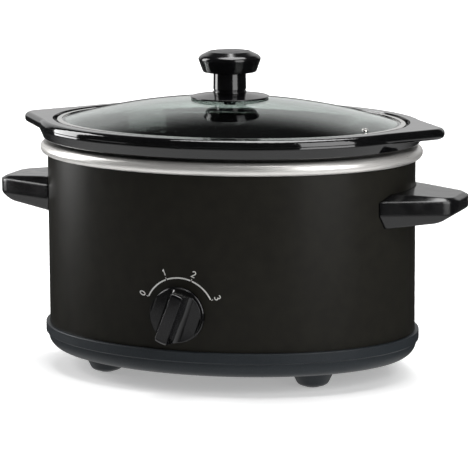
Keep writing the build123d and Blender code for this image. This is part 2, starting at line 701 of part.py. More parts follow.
# ---------------------------------------------------------------- dial and switch
def make_dial():
    """The dial: a round skirted body with a full-width grip whose flanks sweep down to the face."""
    body = turned(outline(
        (0, 0, 0),
        (DIAL_RADIUS, 0, 0.4),
        (DIAL_RADIUS, 2.4, 0.8),
        (DIAL_RADIUS - 0.7, 2.8, 0),
        (DIAL_RADIUS - 1.2, DIAL_GRIP_DEPTH, 2.2),
        (0, DIAL_GRIP_DEPTH, 0),
    ))
    flank = outline(
        (DIAL_GRIP_HALF_WIDTH, DIAL_GRIP_DEPTH + 1, 0),
        (DIAL_GRIP_HALF_WIDTH + 1.6, DIAL_FACE_DEPTH, 5.0),
        (DIAL_RADIUS - 2.4, DIAL_FACE_DEPTH - 0.5, 1.2),
        (DIAL_RADIUS + 6, DIAL_FACE_DEPTH + 6, 0),
        (DIAL_RADIUS + 6, DIAL_GRIP_DEPTH + 1, 0),
    )
    cut = side_slab(flank, DIAL_RADIUS + 2)
    body -= cut
    body -= cut.rotate(Axis.Z, 180)
    nut_corner = NUT_ACROSS_FLATS / sqrt(3)
    recess_depth = BUSH_LENGTH + 0.4
    body -= rod(nut_corner + 1.4, -1, recess_depth - DIAL_GAP + 1)
    body -= rod(SHAFT_RADIUS + SLIP, 0, recess_depth - DIAL_GAP + SHAFT_IN_DIAL)
    body = body.rotate(Axis.Z, -DIAL_SETTING)
    return front_plane(dial_back) * body


def make_switch_shaft():
    """The round shaft that the dial turns."""
    start = -HALF_WIDTH + HOUSING_SHEET + SWITCH_DEPTH / 2
    end = -HALF_WIDTH - BUSH_LENGTH - 0.4 - SHAFT_IN_DIAL + 0.5
    return front_plane(start) * extrude(Circle(SHAFT_RADIUS), start - end)


def make_rotary_switch():
    """The switch body behind the front wall, with its threaded bush through the wall and four tabs."""
    face = -HALF_WIDTH + HOUSING_SHEET + 0.6
    case = front_plane(face + SWITCH_DEPTH) * extrude(
        RectangleRounded(SWITCH_WIDTH, SWITCH_HEIGHT, 2.0),
        SWITCH_DEPTH,
    )
    case += front_plane(face + 0.5) * extrude(Circle(BUSH_RADIUS), BUSH_LENGTH + HOUSING_SHEET + 1.1)
    tab = Box(0.8, 5.0, SWITCH_TAB_LENGTH + 1)
    for column in (-1.5, -0.5, 0.5, 1.5):
        case += front_plane(face + SWITCH_DEPTH + SWITCH_TAB_LENGTH / 2 - 0.5) * Pos(column * 6, -6, 0) * tab
    return case - front_plane(face + SWITCH_DEPTH - 2) * extrude(Circle(SHAFT_RADIUS + RUNNING), 40)


def make_switch_nut():
    """The hexagonal nut that clamps the switch bush to the wall."""
    hexagon = RegularPolygon(NUT_ACROSS_FLATS / 2, 6, major_radius=False)
    nut = extrude(hexagon - Circle(BUSH_RADIUS + SLIP), NUT_THICKNESS)
    return front_plane(-HALF_WIDTH) * nut


# ---------------------------------------------------------------- heater, fuse and wiring
def make_heater_band():
    """The flexible band heater, wrapped round the well's wall with a gap at the back."""
    bottom = well_floor + HEATER_ABOVE_FLOOR
    top = bottom + HEATER_WIDTH
    near = 0.2
    band = round_oval(outline(
        (well_offset(bottom) + near, bottom, 0),
        (well_offset(bottom) + near + HEATER_THICKNESS, bottom, 0),
        (well_offset(top) + near + HEATER_THICKNESS, top, 0),
        (well_offset(top) + near, top, 0),
    ))
    return band - Pos(0, HALF_WIDTH, (bottom + top) / 2) * Box(HEATER_GAP_WIDTH, 80, HEATER_WIDTH + 10)


def make_heater_clamp():
    """Two lugs on the heater's ends and the screw that draws them together."""
    bottom = well_floor + HEATER_ABOVE_FLOOR
    top = bottom + HEATER_WIDTH
    middle = (bottom + top) / 2
    lug_reach = 6.0
    outer = HALF_WIDTH + well_offset(top) + HEATER_THICKNESS + lug_reach / 2
    lugs = [
        Pos(column * (HEATER_GAP_WIDTH / 2 - 1.0), outer, middle) * Box(1.2, lug_reach, 14)
        for column in (-1, 1)
    ]
    screw = Pos(0, outer, middle) * Rot(0, 90, 0) * Cylinder(1.4, HEATER_GAP_WIDTH - 3.2)
    return lugs[0] + lugs[1] + screw


def make_thermal_fuse():
    """The thermal fuse under the well's floor."""
    fuse = Cylinder(FUSE_RADIUS, FUSE_LENGTH)
    return Pos(0, 45, well_under - FUSE_RADIUS - 0.2) * Rot(0, 90, 0) * fuse


def make_fuse_clip():
    """The strap that holds the fuse against the well."""
    loop = FUSE_RADIUS + SLIP
    outer = loop + FUSE_CLIP_SHEET
    strap = Cylinder(outer, 8)
    strap += Pos(0.2 + FUSE_RADIUS - FUSE_CLIP_SHEET / 2, 0, 0) * Box(FUSE_CLIP_SHEET, 16, 8)
    strap -= Cylinder(loop, 8)
    strap = strap & Pos(FUSE_RADIUS + 0.2 - 10, 0, 0) * Box(20, 20, 8)
    return Pos(0, 45, well_under - FUSE_RADIUS - 0.2) * Rot(0, -90, 0) * strap


def make_terminal_block():
    """The terminal block on the pan's floor, inside the cord entry."""
    block = Box(TERMINAL_LENGTH, TERMINAL_WIDTH, TERMINAL_HEIGHT)
    for column in (-1, 0, 1):
        block -= Pos(column * TERMINAL_PITCH, 0, 2) * Rot(90, 0, 0) * Cylinder(2.2, TERMINAL_WIDTH)
        block -= Pos(column * TERMINAL_PITCH, 0, TERMINAL_HEIGHT / 2) * Box(4, 6, 6)
    return Pos(0, HALF_WIDTH - 42, pan_floor + TERMINAL_HEIGHT / 2) * block


def make_internal_leads():
    """Three insulated leads: two from the switch to the terminals and one from the fuse to the terminals."""
    back = HALF_WIDTH - 42 - TERMINAL_WIDTH / 2 - 0.3
    height = pan_floor + TERMINAL_HEIGHT / 2 + 2
    front = -HALF_WIDTH + HOUSING_SHEET + 0.6 + SWITCH_DEPTH + SWITCH_TAB_LENGTH + 0.8
    leads = []
    for column in (-1, 1):
        points = [
            (column * 9, front, dial_height - 6),
            (column * 9, front + 20, dial_height - 12),
            (column * 60, -30, height + 6),
            (column * 60, 20, height + 6),
            (column * TERMINAL_PITCH, back - 18, height),
            (column * TERMINAL_PITCH, back, height),
        ]
        leads.append(make_lead(points))
    leads.append(make_lead([
        (FUSE_LENGTH / 2 + 0.3, 45, well_under - FUSE_RADIUS - 0.2),
        (FUSE_LENGTH / 2 + 10, 45, well_under - FUSE_RADIUS - 0.2),
        (FUSE_LENGTH / 2 + 8, 34, height + 12),
        (0, back - 14, height),
        (0, back, height),
    ]))
    return Compound(leads)


def make_lead(points):
    """One round lead along straight runs joined by tangent arcs."""
    steps = [(Vector(b) - Vector(a)) for a, b in zip(points, points[1:])]
    radii = []
    for before, after in zip(steps, steps[1:]):
        turn = radians(before.get_angle(after))
        radii.append(0.45 * min(before.length, after.length) * cos(turn / 2) / sin(turn / 2))
    route = Wire(FilletPolyline(*points, radius=radii).edges())
    section = Plane(origin=points[0], z_dir=steps[0]) * Circle(LEAD_RADIUS)
    return sweep(section, path=route)


# ---------------------------------------------------------------- tie and cord entry
def make_tie_bracket():
    """The omega strip under the well's floor, which the tie screws pull down onto the pan's bosses."""
    low = pan_floor + TIE_BOSS_HEIGHT
    half = BRACKET_SPAN / 2
    line = FilletPolyline(
        (-half - BRACKET_FOOT, well_under),
        (-half, well_under),
        (-half, low + BRACKET_SHEET),
        (half, low + BRACKET_SHEET),
        (half, well_under),
        (half + BRACKET_FOOT, well_under),
        radius=2.0,
    )
    middle = Wire(line.edges())
    strip = Face(middle.offset_2d(BRACKET_SHEET, kind=Kind.INTERSECTION, side=Side.RIGHT, closed=True))
    bracket = side_slab(strip, BRACKET_WIDTH / 2)
    for place in tie_places():
        bracket -= place * rod(TIE_SCREW_RADIUS + SLIP, low - 5, 10)
    return bracket


def make_tie_screws():
    """The two screws from under the pan into the tie bracket."""
    head_top = pan_bottom + 1.6
    length = TIE_BOSS_HEIGHT + PAN_WALL + BRACKET_SHEET + 3
    screw = turned(outline(
        (0, head_top - 2.2, 0),
        (TIE_HEAD_RADIUS, head_top - 2.2, 1.2),
        (TIE_HEAD_RADIUS, head_top, 0),
        (0, head_top, 0),
    ))
    screw += rod(TIE_SCREW_RADIUS, head_top - 0.5, length)
    screw -= Pos(0, 0, head_top - 2.2) * Box(0.8, 5.6, 1.6)
    screw -= Pos(0, 0, head_top - 2.2) * Box(5.6, 0.8, 1.6)
    return Compound([place * screw for place in tie_places()])


def make_cord_entry():
    """The insulating bush in the back wall, through which the supply cord enters."""
    bush = turned(outline(
        (ENTRY_BORE_RADIUS, -HOUSING_SHEET - 4.0, 0),
        (ENTRY_BUSH_RADIUS, -HOUSING_SHEET - 4.0, 0.8),
        (ENTRY_BUSH_RADIUS, 0.05, 0),
        (ENTRY_FLANGE_RADIUS, 0.05, 0),
        (ENTRY_FLANGE_RADIUS, ENTRY_FLANGE, 0.8),
        (ENTRY_BORE_RADIUS, ENTRY_FLANGE, 0),
    ))
    return back_plane(HALF_WIDTH) * bush


# ---------------------------------------------------------------- the assembly
PIECES = {
    "base_pan": make_base_pan,
    "feet": make_feet,
    "foot_pads": make_foot_pads,
    "housing": make_housing,
    "heating_well": make_heating_well,
    "left_handle": lambda: make_handle(-1),
    "right_handle": lambda: make_handle(1),
    "handle_washers": make_handle_washers,
    "handle_screws": make_handle_screws,
    "crock": make_crock,
    "lid_glass": make_lid_glass,
    "lid_rim": make_lid_rim,
    "vent_eyelet": make_vent_eyelet,
    "knob_skirt": make_knob_skirt,
    "lid_knob": make_lid_knob,
    "knob_badge": make_knob_badge,
    "knob_washer": make_knob_washer,
    "knob_screw": make_knob_screw,
    "control_dial": make_dial,
    "switch_shaft": make_switch_shaft,
    "rotary_switch": make_rotary_switch,
    "switch_nut": make_switch_nut,
    "heater_band": make_heater_band,
    "heater_clamp": make_heater_clamp,
    "thermal_fuse": make_thermal_fuse,
    "fuse_clip": make_fuse_clip,
    "terminal_block": make_terminal_block,
    "internal_leads": make_internal_leads,
    "tie_bracket": make_tie_bracket,
    "tie_screws": make_tie_screws,
    "cord_entry": make_cord_entry,
}


def centre_shift():
    """How far the oval is moved back, so that the origin is under the middle of the whole outline."""
    front = HALF_WIDTH + DIAL_GAP + DIAL_GRIP_DEPTH
    back = HALF_WIDTH + max(CROCK_RIM_REACH, BAND_BULGE, PAN_LIP_REACH, ENTRY_FLANGE)
    return (front - back) / 2


def main():
    """Build every piece, move it to the shared frame and write it."""
    os.makedirs("parts", exist_ok=True)
    to_frame = Pos(0, centre_shift(), 0)
    for name, make in PIECES.items():
        export_step(to_frame * make(), "parts/" + name + ".step")
        print(name, flush=True)
    print("oval centre is at Y", round(centre_shift(), 3))


if __name__ == "__main__":
    main()
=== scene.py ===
import logging
import math
from dataclasses import dataclass, field
from enum import Enum
from typing import Any

import bmesh
import bpy
from mathutils import Matrix, Vector


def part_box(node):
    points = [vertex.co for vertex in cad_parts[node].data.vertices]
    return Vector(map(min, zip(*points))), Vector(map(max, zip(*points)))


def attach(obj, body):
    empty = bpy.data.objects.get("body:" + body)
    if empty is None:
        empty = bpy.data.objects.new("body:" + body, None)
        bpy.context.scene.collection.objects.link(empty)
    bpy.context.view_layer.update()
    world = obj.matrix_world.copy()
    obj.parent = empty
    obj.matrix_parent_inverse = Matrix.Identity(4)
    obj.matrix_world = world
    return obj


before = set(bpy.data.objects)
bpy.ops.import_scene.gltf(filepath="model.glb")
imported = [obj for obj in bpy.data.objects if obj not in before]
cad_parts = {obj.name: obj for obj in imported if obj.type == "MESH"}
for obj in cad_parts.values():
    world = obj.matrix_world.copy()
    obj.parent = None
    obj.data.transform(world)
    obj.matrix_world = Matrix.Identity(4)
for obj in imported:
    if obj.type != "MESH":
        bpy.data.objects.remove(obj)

MM = 0.001
LOG = logging.getLogger("slow_cooker")
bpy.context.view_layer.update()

# How every finish lays out its pattern.
NOISE_DETAIL = 4.0
NOISE_ROUGHNESS = 0.6
LEVEL_LINES = (0.02, 0.02, 1.0)   # stretches the pattern round an upright wall
WEAVE_WANDER = 0.6                # how far the yarns of a cloth stray
COLOUR_SPAN = (0.35, 0.65)        # part of the pattern that carries the colour
ROUGHNESS_SPAN = (0.30, 0.70)     # and the part that carries the roughness
EDGE_SAMPLES = 8


class Body(str, Enum):
    """The rigid bodies that pieces ride on."""

    BASE = "base"
    CROCK = "crock"
    LID = "lid"
    DIAL = "dial"


class Pattern(Enum):
    """How a finish varies over its surface."""

    CLOUDED = "clouded"        # soft patches, as in paint, glaze and moulded plastic
    BRUSHED_ROUND = "brushed"  # fine level lines that run round the upright wall
    LAID = "laid"              # fine lines along one direction, as in rolled strip
    WOVEN = "woven"            # a fine over-and-under cloth


def linear(code: str) -> tuple[float, float, float, float]:
    """Turn an sRGB hex colour to the linear colour that shaders use.

    Args:
        code: six hex digits, with or without a leading hash sign.

    Returns:
        Linear red, green, blue and an alpha of 1.
    """
    digits = code.lstrip("#")
    channels = [int(digits[i:i + 2], 16) / 255 for i in (0, 2, 4)]
    lit = [c / 12.92 if c <= 0.04045 else ((c + 0.055) / 1.055) ** 2.4 for c in channels]
    return lit[0], lit[1], lit[2], 1.0


def add_node(tree: bpy.types.NodeTree, kind: str, settings: dict[str, Any] | None = None,
             inputs: dict[Any, Any] | None = None) -> bpy.types.Node:
    """Add one shader node with its settings, input values and incoming links.

    Args:
        tree: the node tree that gets the node.
        kind: the node's type name.
        settings: node properties by name.
        inputs: values or output sockets by input name or number.

    Returns:
        The new node.
    """
    node = tree.nodes.new(kind)
    for name, value in (settings or {}).items():
        setattr(node, name, value)
    for name, value in (inputs or {}).items():
        if isinstance(value, bpy.types.NodeSocket):
            tree.links.new(value, node.inputs[name])
        else:
            node.inputs[name].default_value = value
    return node


# ------------------------------------------------------------------ finishes
@dataclass(frozen=True)
class Finish:
    """One real material and how its surface was made.

    Sizes are in millimetres of the real thing. The pattern mixes colour and low colour, shifts roughness by
    spread either way and raises a bump.
    """

    name: str
    colour: str
    low_colour: str
    roughness: float
    spread: float
    grain_mm: float
    bump_mm: float
    metallic: float = 0.0
    ior: float | None = None
    specular: float = 0.5
    coat: float = 0.0
    coat_roughness: float = 0.05
    pattern: Pattern = Pattern.CLOUDED
    stretch: tuple[float, float, float] = (1.0, 1.0, 1.0)
    sheen: float = 0.0
    glow: float = 0.0
    edge_mm: float = 0.0

    def material(self) -> bpy.types.Material:
        """Build the finish once and return it.

        Returns:
            The material, shared by all pieces that have this finish.
        """
        found = bpy.data.materials.get(self.name)
        if found is not None:
            return found
        made = bpy.data.materials.new(self.name)
        made.use_nodes = True
        tree = made.node_tree
        tree.nodes.clear()
        shader = add_node(tree, "ShaderNodeBsdfPrincipled", inputs=self.constants())
        self.dress(tree, shader)
        add_node(tree, "ShaderNodeOutputMaterial", inputs={"Surface": shader.outputs["BSDF"]})
        return made

    def constants(self) -> dict[str, Any]:
        """Give the shader values that are the same all over the surface.

        Returns:
            Values by the name of the shader's input.
        """
        values = {
            "Metallic": self.metallic,
            "Specular IOR Level": self.specular,
            "Coat Weight": self.coat,
            "Coat Roughness": self.coat_roughness,
            "Sheen Weight": self.sheen,
            "Emission Strength": self.glow,
        }
        if self.ior is not None:
            values["IOR"] = self.ior
        return values

    def lay_out(self, tree: bpy.types.NodeTree) -> bpy.types.NodeSocket:
        """Lay the finish's pattern out in real millimetres.

        Args:
            tree: the material's node tree.

        Returns:
            A value of about 0 to 1 that carries the pattern.
        """
        place = add_node(tree, "ShaderNodeTexCoord").outputs["Object"]
        stretch = self.stretch
        if self.pattern is Pattern.BRUSHED_ROUND:
            stretch = LEVEL_LINES
        mapped = add_node(tree, "ShaderNodeMapping", inputs={"Vector": place, "Scale": stretch})
        scale = 1.0 / (self.grain_mm * MM)
        if self.pattern is Pattern.WOVEN:
            wave = {"Vector": mapped.outputs[0], "Scale": scale, "Distortion": WEAVE_WANDER, "Detail": 1.0}
            warp = add_node(tree, "ShaderNodeTexWave", {"bands_direction": "X"}, wave)
            weft = add_node(tree, "ShaderNodeTexWave", {"bands_direction": "Z"}, wave)
            return add_node(tree, "ShaderNodeMath", {"operation": "MULTIPLY"},
                            {0: warp.outputs["Fac"], 1: weft.outputs["Fac"]}).outputs[0]
        noise = add_node(tree, "ShaderNodeTexNoise", inputs={
            "Vector": mapped.outputs[0], "Scale": scale, "Detail": NOISE_DETAIL,
            "Roughness": NOISE_ROUGHNESS})
        return noise.outputs["Fac"]

    def dress(self, tree: bpy.types.NodeTree, shader: bpy.types.Node) -> None:
        """Link the pattern to colour, roughness and bump.

        Args:
            tree: the material's node tree.
            shader: the principled shader.
        """
        value = self.lay_out(tree)
        tone = add_node(tree, "ShaderNodeMapRange", inputs={
            "Value": value, "From Min": COLOUR_SPAN[0], "From Max": COLOUR_SPAN[1]})
        mixed = add_node(tree, "ShaderNodeMix", {"data_type": "RGBA"}, {
            0: tone.outputs[0], 6: linear(self.low_colour), 7: linear(self.colour)})
        tree.links.new(mixed.outputs[2], shader.inputs["Base Color"])
        rough = add_node(tree, "ShaderNodeMapRange", inputs={
            "Value": value, "From Min": ROUGHNESS_SPAN[0], "From Max": ROUGHNESS_SPAN[1],
            "To Min": max(self.roughness - self.spread, 0.0), "To Max": self.roughness + self.spread})
        tree.links.new(rough.outputs[0], shader.inputs["Roughness"])
        if self.bump_mm:
            self.raise_bump(tree, shader, value)

    def raise_bump(self, tree: bpy.types.NodeTree, shader: bpy.types.Node,
                   value: bpy.types.NodeSocket) -> None:
        """Raise the pattern, and soften the edges of the shading where the finish asks for it.

        Args:
            tree: the material's node tree.
            shader: the principled shader.
            value: the pattern.
        """
        bump = add_node(tree, "ShaderNodeBump", inputs={
            "Strength": 1.0, "Distance": self.bump_mm * MM, "Height": value})
        tree.links.new(bump.outputs[0], shader.inputs["Normal"])
        if self.edge_mm:
            soft = add_node(tree, "ShaderNodeBevel", {"samples": EDGE_SAMPLES}, {"Radius": self.edge_mm * MM})
            tree.links.new(soft.outputs[0], bump.inputs["Normal"])
            tree.links.new(soft.outputs[0], shader.inputs["Coat Normal"])


@dataclass(frozen=True)
class ClearFinish(Finish):
    """Clear toughened glass, tinted through its depth, with the faint streaks of a worn, washed surface."""

    transmission: float = 1.0

    def constants(self) -> dict[str, Any]:
        """Give the shader values that are the same all over the surface.

        Returns:
            Values by the name of the shader's input.
        """
        return {**super().constants(), "Transmission Weight": self.transmission}


# Stoved enamel on sheet steel: a satin skin with a faint orange peel, which softens what it reflects.
HOUSING_ENAMEL = Finish("stoved_satin_enamel", "#1f1e1a", "#1c1b18", 0.33, 0.03, 9.0, 0.004,
                        specular=0.10)
# Steel sheet spun round the roll: level hairlines that stretch highlights upwards.
SPUN_STEEL = Finish("spun_satin_steel", "#e8e6e3", "#d6d4d0", 0.34, 0.07, 0.35, 0.004,
                    metallic=0.66, pattern=Pattern.BRUSHED_ROUND)
# Thin polished stainless strip, crimped round the glass.
POLISHED_STRIP = Finish("polished_stainless_strip", "#dddcd9", "#c9c8c5", 0.14, 0.04, 0.5, 0.002,
                        metallic=1.0, pattern=Pattern.BRUSHED_ROUND)
# Glazed stoneware: deep gloss black, with pooled glaze that waves the reflections.
BLACK_GLAZE = Finish("glazed_black_stoneware", "#0b0b0c", "#070708", 0.07, 0.025, 14.0, 0.05,
                     ior=1.52, coat=0.3, coat_roughness=0.03)
# Toughened lid glass: clear, with a faint green-grey tint.
LID_GLASS = ClearFinish("toughened_lid_glass", "#dfe9e4", "#d9e4df", 0.015, 0.01, 30.0, 0.0, ior=1.52)
# Pressed phenolic: deep black gloss from a polished tool, which catches light along its rounded edges.
GLOSS_PHENOLIC = Finish("gloss_pressed_phenolic", "#0d0d0f", "#09090a", 0.13, 0.03, 7.0, 0.006, ior=1.55,
                        edge_mm=0.7)
# Moulded grips: the same gloss, a little rubbed by hands, with edges that turn softly.
GRIP_PHENOLIC = Finish("gloss_moulded_grip", "#0f0f10", "#0a0a0b", 0.16, 0.04, 9.0, 0.006, ior=1.53,
                       edge_mm=2.6)
# Disc in the knob's top: satin, so that it reads as a piece of its own in the gloss cap.
BADGE_PHENOLIC = Finish("satin_moulded_disc", "#1c1c1f", "#151517", 0.32, 0.05, 4.0, 0.004, ior=1.5)
# Moulded polypropylene base: dark blue-grey with the fine spark texture of its mould.
BASE_POLYPROPYLENE = Finish("spark_textured_polypropylene", "#282c30", "#222629", 0.40, 0.05, 1.1, 0.012,
                            ior=1.49, specular=0.2)
# Rubber sole pads and the cord bush: matt, slightly dusty.
BLACK_RUBBER = Finish("moulded_black_rubber", "#1b1b1b", "#141414", 0.75, 0.08, 1.5, 0.02, ior=1.52)
# Silicone washer under the knob: milky and soft.
CLEAR_SILICONE = Finish("moulded_silicone", "#c9cac6", "#b9bab6", 0.45, 0.05, 2.5, 0.01, ior=1.41)
# Zinc-plated fasteners and clips: cool grey with faint blue passivation clouds.
ZINC_PLATE = Finish("zinc_plated_steel", "#b7bcc2", "#9fa5ad", 0.28, 0.08, 2.0, 0.004, metallic=1.0)
# Plain rolled strip of the bracket: fine lines from the rolls.
ROLLED_STRIP = Finish("rolled_steel_strip", "#9a9a98", "#858583", 0.38, 0.08, 0.6, 0.004,
                      metallic=1.0, pattern=Pattern.LAID, stretch=(0.05, 1.0, 0.05))
# Turned brass nut: warm, with fine lines from the lathe.
TURNED_BRASS = Finish("turned_nickel_brass", "#c8b27a", "#b09a62", 0.26, 0.06, 0.5, 0.003,
                      metallic=1.0, pattern=Pattern.LAID, stretch=(1.0, 0.1, 1.0))
# Urea moulding of the switch and terminal block: pale and dull, faintly mottled.
PALE_UREA = Finish("moulded_pale_urea", "#d9d3c6", "#cbc5b7", 0.45, 0.05, 1.2, 0.010, ior=1.5)
# Glass-cloth heater band: buff cloth with its plain weave.
GLASS_CLOTH = Finish("woven_glass_cloth", "#cbb896", "#a8966f", 0.85, 0.05, 2.2, 0.15,
                     pattern=Pattern.WOVEN, sheen=0.2)
# Silicone lead insulation: brick red with a soft skin.
LEAD_SILICONE = Finish("silicone_lead_insulation", "#7a2f22", "#6a2a1f", 0.5, 0.05, 3.0, 0.01, ior=1.41)
# Screen-printed ink of the dial's marks: pale grey, slightly broken at its edges.
PRINT_INK = Finish("screen_printed_ink", "#c9c9c6", "#b4b4b1", 0.5, 0.06, 0.8, 0.004, ior=1.5)
# Studio paper: pale and matt, glowing a little so that shadows on it stay light.
STUDIO_PAPER = Finish("seamless_pale_paper", "#f4f4f4", "#f1f1f1", 0.8, 0.03, 40.0, 0.0,
                      specular=0.1, glow=0.34)
# Lit strip of floor that upright gloss faces mirror.
LIT_STRIP = Finish("pale_floor_card", "#0c0c0c", "#0a0a0a", 0.8, 0.03, 40.0, 0.0,
                   specular=0.0, glow=0.50)


# ------------------------------------------------------------------ sub-assemblies
@dataclass(frozen=True)
class SubAssembly:
    """CAD pieces that are fitted together and ride on one body, with the finish of each."""

    name: str
    body: Body
    finishes: dict[str, Finish]

    def dress(self) -> None:
        """Give every piece the finish of its real material."""
        for piece, finish in self.finishes.items():
            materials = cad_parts[piece].data.materials
            materials.clear()
            materials.append(finish.material())
        LOG.info("dressed %s, which rides on %s", self.name, self.body.value)


SUB_ASSEMBLIES: tuple[SubAssembly, ...] = (
    SubAssembly("shell", Body.BASE, {
        "base_pan": BASE_POLYPROPYLENE,
        "feet": BASE_POLYPROPYLENE,
        "foot_pads": BLACK_RUBBER,
        "housing": HOUSING_ENAMEL,
        "cord_entry": BLACK_RUBBER,
    }),
    SubAssembly("side handles", Body.BASE, {
        "left_handle": GRIP_PHENOLIC,
        "right_handle": GRIP_PHENOLIC,
        "handle_washers": ZINC_PLATE,
        "handle_screws": ZINC_PLATE,
    }),
    SubAssembly("heated well", Body.BASE, {
        "heating_well": SPUN_STEEL,
        "heater_band": GLASS_CLOTH,
        "heater_clamp": ZINC_PLATE,
        "thermal_fuse": ZINC_PLATE,
        "fuse_clip": ROLLED_STRIP,
        "tie_bracket": ROLLED_STRIP,
        "tie_screws": ZINC_PLATE,
    }),
    SubAssembly("switch and wiring", Body.BASE, {
        "rotary_switch": PALE_UREA,
        "switch_nut": TURNED_BRASS,
        "terminal_block": PALE_UREA,
        "internal_leads": LEAD_SILICONE,
    }),
    SubAssembly("dial", Body.DIAL, {
        "control_dial": GLOSS_PHENOLIC,
        "switch_shaft": ZINC_PLATE,
    }),
    SubAssembly("crock", Body.CROCK, {
        "crock": BLACK_GLAZE,
    }),
    SubAssembly("lid", Body.LID, {
        "lid_glass": LID_GLASS,
        "lid_rim": POLISHED_STRIP,
        "vent_eyelet": POLISHED_STRIP,
        "knob_skirt": GLOSS_PHENOLIC,
        "lid_knob": GLOSS_PHENOLIC,
        "knob_badge": BADGE_PHENOLIC,
        "knob_washer": CLEAR_SILICONE,
        "knob_screw": ZINC_PLATE,
    }),
)


# ------------------------------------------------------------------ printed legend
def arc_points(middle: tuple[float, float], radii: tuple[float, float], start: float, end: float,
               steps: int) -> list[Vector]:
    """Give points along an arc of an ellipse.

    Args:
        middle: the arc's centre.
        radii: its half width and half height.
        start: its first angle in degrees, anticlockwise from the right.
        end: its last angle in degrees.
        steps: how many straight runs it has.

    Returns:
        The points, both ends included.
    """
    turns = [math.radians(start + (end - start) * i / steps) for i in range(steps + 1)]
    return [Vector((middle[0] + radii[0] * math.cos(t), middle[1] + radii[1] * math.sin(t))) for t in turns]


SHARPEST_MITRE = 0.5    # cosine at which a ribbon's corner stops growing

# Single-line numerals, one unit high and centred, each a list of strokes.
NUMERALS: tuple[list[list[Vector]], ...] = (
    [arc_points((0.0, 0.0), (0.29, 0.5), 90, 450, 24)],
    [[Vector((-0.16, 0.30)), Vector((0.06, 0.5)), Vector((0.06, -0.5))]],
    [arc_points((0.0, 0.21), (0.28, 0.29), 165, -38, 12) + [Vector((-0.28, -0.5)), Vector((0.31, -0.5))]],
    [
        arc_points((-0.02, 0.245), (0.26, 0.255), 150, -85, 12),
        arc_points((-0.02, -0.235), (0.30, 0.265), 85, -150, 12),
    ],
)


@dataclass
class DialLegend:
    """The printed scale round the dial: an arc broken at four marks, short ticks and the numerals 0 to 3.

    Sizes are in millimetres and angles in degrees clockwise from upright.
    """

    hub: Vector
    centre: Vector
    half_length: float
    half_width: float
    marks: tuple[float, ...] = (-65.0, -21.0, 21.0, 65.0)
    arc_radius: float = 27.5
    line: float = 1.05
    break_angle: float = 2.6
    tick_length: float = 1.6
    tick_width: float = 0.45
    numeral_radius: float = 33.0
    numeral_height: float = 4.4
    numeral_line: float = 0.75
    film: float = 0.05
    arc_steps: int = 28
    tick_sink: float = 0.2      # share of the arc's line that a tick starts inside

    def build(self) -> bpy.types.Object:
        """Draw the print flat, then lay it on the curved wall.

        Returns:
            The finished print, riding on the base.
        """
        mesh = bmesh.new()
        for first, last in zip(self.marks, self.marks[1:]):
            start, end = first + self.break_angle / 2, last - self.break_angle / 2
            radii = (self.arc_radius, self.arc_radius)
            path = arc_points((0, 0), radii, 90 - start, 90 - end, self.arc_steps)
            self.stroke(mesh, path, self.line)
        for strokes, mark in zip(NUMERALS, self.marks):
            out = Vector((math.sin(math.radians(mark)), math.cos(math.radians(mark))))
            tick = self.arc_radius + self.line * self.tick_sink
            self.stroke(mesh, [out * tick, out * (tick + self.tick_length)], self.tick_width)
            self.numeral(mesh, strokes, out)
        self.wrap(mesh)
        bmesh.ops.recalc_face_normals(mesh, faces=mesh.faces)
        data = bpy.data.meshes.new("dial_legend")
        mesh.to_mesh(data)
        mesh.free()
        legend = bpy.data.objects.new("dial_legend", data)
        bpy.context.scene.collection.objects.link(legend)
        self.dress(legend)
        return legend

    def dress(self, legend: bpy.types.Object) -> None:
        """Ink the print and fix it to the base.

        Args:
            legend: the print.
        """
        legend.data.materials.append(PRINT_INK.material())
        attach(legend, Body.BASE.value)
        LOG.info("printed the dial legend")

    def numeral(self, mesh: bmesh.types.BMesh, strokes: list[list[Vector]], out: Vector) -> None:
        """Draw one numeral, its top away from the dial.

        Args:
            mesh: the print's mesh.
            strokes: the numeral's strokes, one unit high.
            out: the direction from the dial's axis to the numeral.
        """
        aside = Vector((out.y, -out.x))
        for stroke in strokes:
            path = [
                out * self.numeral_radius + (out * point.y + aside * point.x) * self.numeral_height
                for point in stroke
            ]
            self.stroke(mesh, path, self.numeral_line)

    @staticmethod
    def stroke(mesh: bmesh.types.BMesh, path: list[Vector], width: float) -> None:
        """Draw one ribbon along a flat path by extruding its end edge from point to point.

        Args:
            mesh: the print's mesh.
            path: the middle of the ribbon.
            width: the ribbon's width.
        """
        sides = []
        for i, point in enumerate(path):
            before = (point - path[max(i - 1, 0)]).normalized()
            after = (path[min(i + 1, len(path) - 1)] - point).normalized()
            along = (before + after).normalized()
            reach = width / 2 / max(along.dot(after if after.length else before), SHARPEST_MITRE)
            across = Vector((-along.y, along.x)) * reach
            sides.append((point - across, point + across))
        edge = mesh.edges.new([mesh.verts.new((side.x, 0, side.y)) for side in sides[0]])
        for low, high in sides[1:]:
            grown = bmesh.ops.extrude_edge_only(mesh, edges=[edge])["geom"]
            edge = next(item for item in grown if isinstance(item, bmesh.types.BMEdge))
            ends = list(edge.verts)
            if (ends[0].co.xz - low).length + (ends[1].co.xz - high).length > (
                    ends[1].co.xz - low).length + (ends[0].co.xz - high).length:
                ends.reverse()
            ends[0].co = (low.x, 0, low.y)
            ends[1].co = (high.x, 0, high.y)

    def wrap(self, mesh: bmesh.types.BMesh) -> None:
        """Move the flat print onto the housing's curved front, a film's thickness outside it.

        Args:
            mesh: the print, drawn in millimetres about the dial's axis.
        """
        film = self.film * MM
        for vert in mesh.verts:
            x = self.hub.x + vert.co.x * MM
            z = self.hub.z + vert.co.z * MM
            share = (x - self.centre.x) / (self.half_length + film)
            y = self.centre.y - (self.half_width + film) * math.sqrt(1 - share**2)
            vert.co = (x, y, z)


